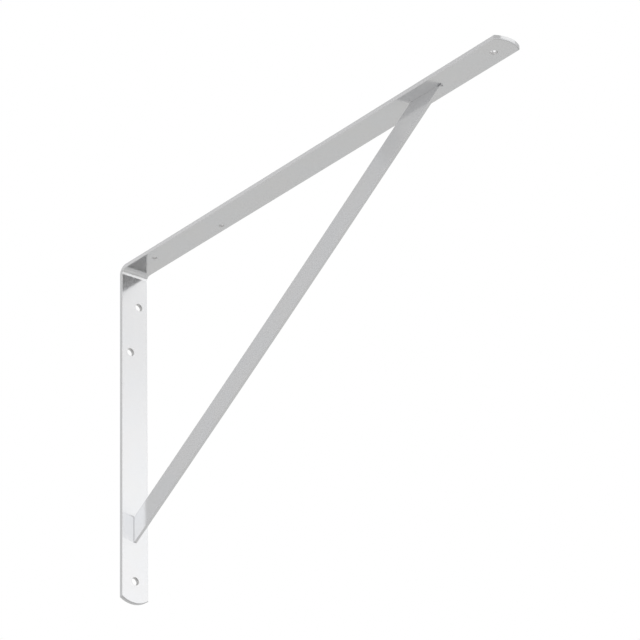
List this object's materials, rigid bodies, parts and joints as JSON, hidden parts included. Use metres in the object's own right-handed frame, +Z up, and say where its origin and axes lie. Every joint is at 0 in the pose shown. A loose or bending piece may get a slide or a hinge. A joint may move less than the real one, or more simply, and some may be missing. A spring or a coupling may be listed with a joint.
{
  "type": "shelf bracket",
  "caption": "Steel bracket for a deep shelf: a flat bar bent square into a wall leg and a shelf arm, with a diagonal brace bar on edge and staggered screw holes.",
  "frame": {"origin": "middle of the wall leg's back face, on the wall plane", "axes": "+Z up, +Y into the wall so that the shelf arm reaches out along -Y, X across the bars"},
  "size_m": [0.03, 0.5499, 0.3499],
  "materials": {
    "zinc_plate_bar": "bright zinc plate, glossy, on rolled flat steel",
    "zinc_plate_brace": "bright zinc plate, glossy, on cut flat steel and its weld beads"
  },
  "bodies": {
    "root": {"bent_bar": "zinc_plate_bar", "brace": "zinc_plate_brace"}
  },
  "joints": []
}
